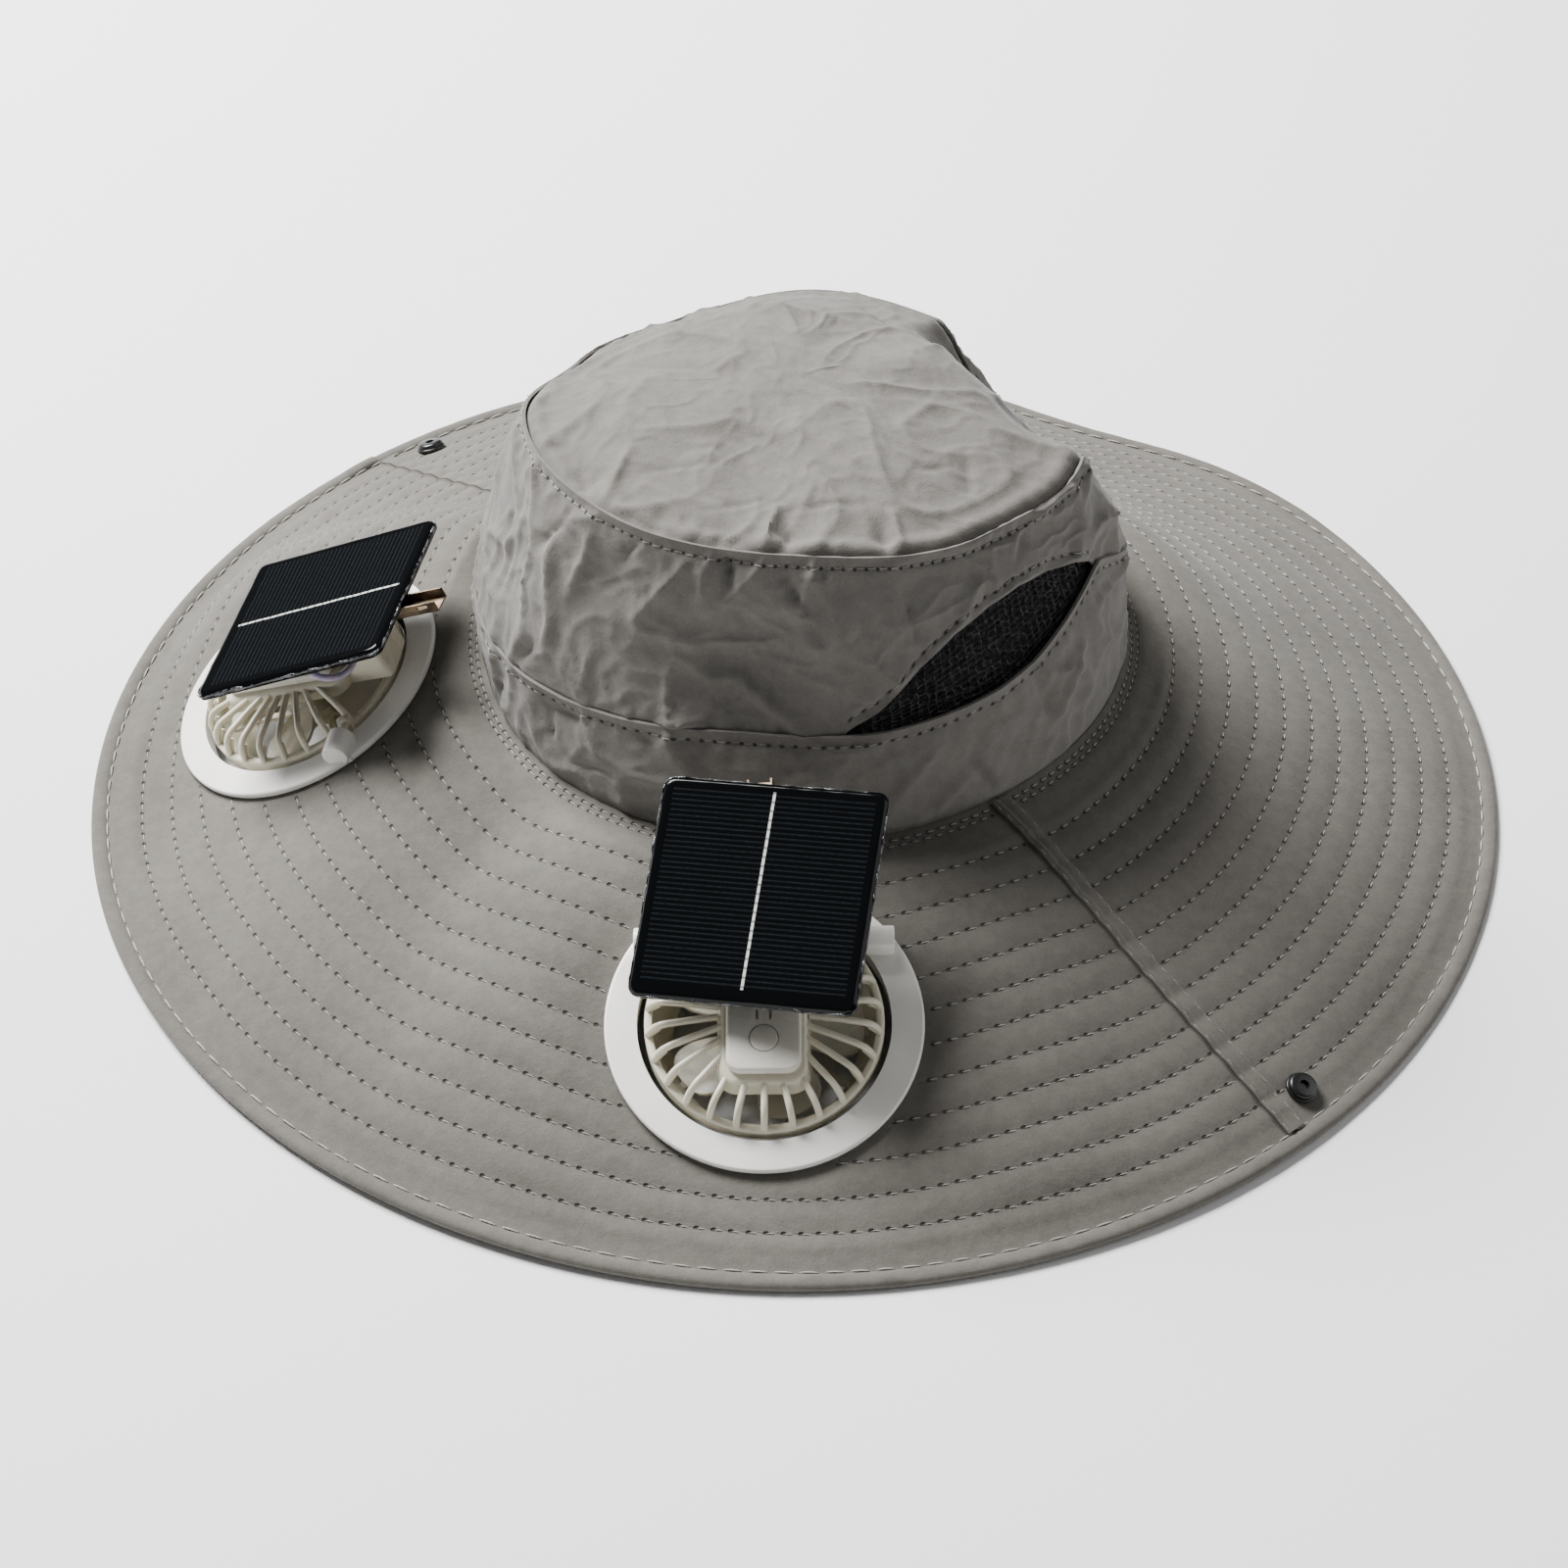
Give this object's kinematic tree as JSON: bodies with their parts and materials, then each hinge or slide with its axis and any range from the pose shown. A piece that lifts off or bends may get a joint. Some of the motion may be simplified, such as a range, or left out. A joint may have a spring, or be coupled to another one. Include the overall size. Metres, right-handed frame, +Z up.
{
  "type": "solar fan hat",
  "caption": "Wide quilted sun hat with a crumpled crown and net side windows; round fans in the brim each carry a hinged solar panel.",
  "frame": {"origin": "on the surface the hat rests on, under the middle of the brim", "axes": "+Z up through the crown; the wearer faces about 43 degrees to the left of -Y, towards azimuth 223 degrees from +X; -Y points to the viewer of the picture"},
  "size_m": [0.426, 0.4258, 0.1383],
  "materials": {
    "cloth_brim": "matt tightly woven grey cloth with quilting rows",
    "cloth_crown": "matt tightly woven grey cloth, crumpled",
    "black_net": "coarse black knitted net",
    "snap_black": "black snap stud",
    "ring_white": "glossy warm white plastic",
    "cage_cream": "glossy cream plastic",
    "blade_milky": "milky translucent plastic",
    "solar_cell": "black cell under clear resin, with fine lines and one silver bar",
    "bracket_brass": "dull brass sheet",
    "wire_sheath": "pale lavender translucent sheath"
  },
  "bodies": {
    "hat": {"brim_front": "cloth_brim", "brim_back": "cloth_brim", "brim_binding": "cloth_brim", "brim_seam_right": "cloth_brim", "brim_seam_left": "cloth_brim", "crown_band": "cloth_crown", "crown_side": "cloth_crown", "crown_top": "cloth_crown", "mesh_right": "black_net", "mesh_left": "black_net", "snap_right": "snap_black", "snap_left": "snap_black", "front_ring": "ring_white", "left_ring": "ring_white"},
    "front_fan": {"front_cage": "cage_cream", "front_power_box": "cage_cream"},
    "front_rotor": {"front_impeller": "blade_milky"},
    "front_switch": {"front_button": "cage_cream"},
    "front_solar": {"front_panel": "solar_cell", "front_panel_bracket": "bracket_brass", "front_panel_wire": "wire_sheath"},
    "left_fan": {"left_cage": "cage_cream", "left_power_box": "cage_cream"},
    "left_rotor": {"left_impeller": "blade_milky"},
    "left_switch": {"left_button": "cage_cream"},
    "left_solar": {"left_panel": "solar_cell", "left_panel_bracket": "bracket_brass", "left_panel_wire": "wire_sheath"}
  },
  "joints": [
    {"name": "front_tilt", "type": "hinge", "parent": "hat", "child": "front_fan", "pos_m": [-0.00863, -0.11897, 0.0402], "axis": [0.9999, 0, 0.0137], "range_deg": [0, 12]},
    {"name": "front_spin", "type": "hinge", "parent": "front_fan", "child": "front_rotor", "pos_m": [-0.00845, -0.13915, 0.02731], "axis": [-0.0128, -0.3663, 0.9304], "continuous": true},
    {"name": "front_press", "type": "slide", "parent": "front_fan", "child": "front_switch", "axis": [0.0128, 0.3663, -0.9304], "range_m": [0, 0.0006], "stiffness_N_per_m": 600, "springref_m": -0.0008},
    {"name": "front_panel_hinge", "type": "hinge", "parent": "front_fan", "child": "front_solar", "pos_m": [-0.00887, -0.11465, 0.05791], "axis": [-0.9999, 0, -0.0137], "range_deg": [-8, 25]},
    {"name": "left_tilt", "type": "hinge", "parent": "hat", "child": "left_fan", "pos_m": [-0.12796, 0.00044, 0.04136], "axis": [-0.1974, -0.9614, -0.1916], "range_deg": [0, 12]},
    {"name": "left_spin", "type": "hinge", "parent": "left_fan", "child": "left_rotor", "pos_m": [-0.1467, 0.00696, 0.02797], "axis": [-0.4288, -0.0911, 0.8988], "continuous": true},
    {"name": "left_press", "type": "slide", "parent": "left_fan", "child": "left_switch", "axis": [0.4288, 0.0911, -0.8988], "range_m": [0, 0.0006], "stiffness_N_per_m": 600, "springref_m": -0.0008},
    {"name": "left_panel_hinge", "type": "hinge", "parent": "left_fan", "child": "left_solar", "pos_m": [-0.12509, -0.00364, 0.0589], "axis": [0.1974, 0.9614, 0.1916], "range_deg": [-8, 25]}
  ]
}
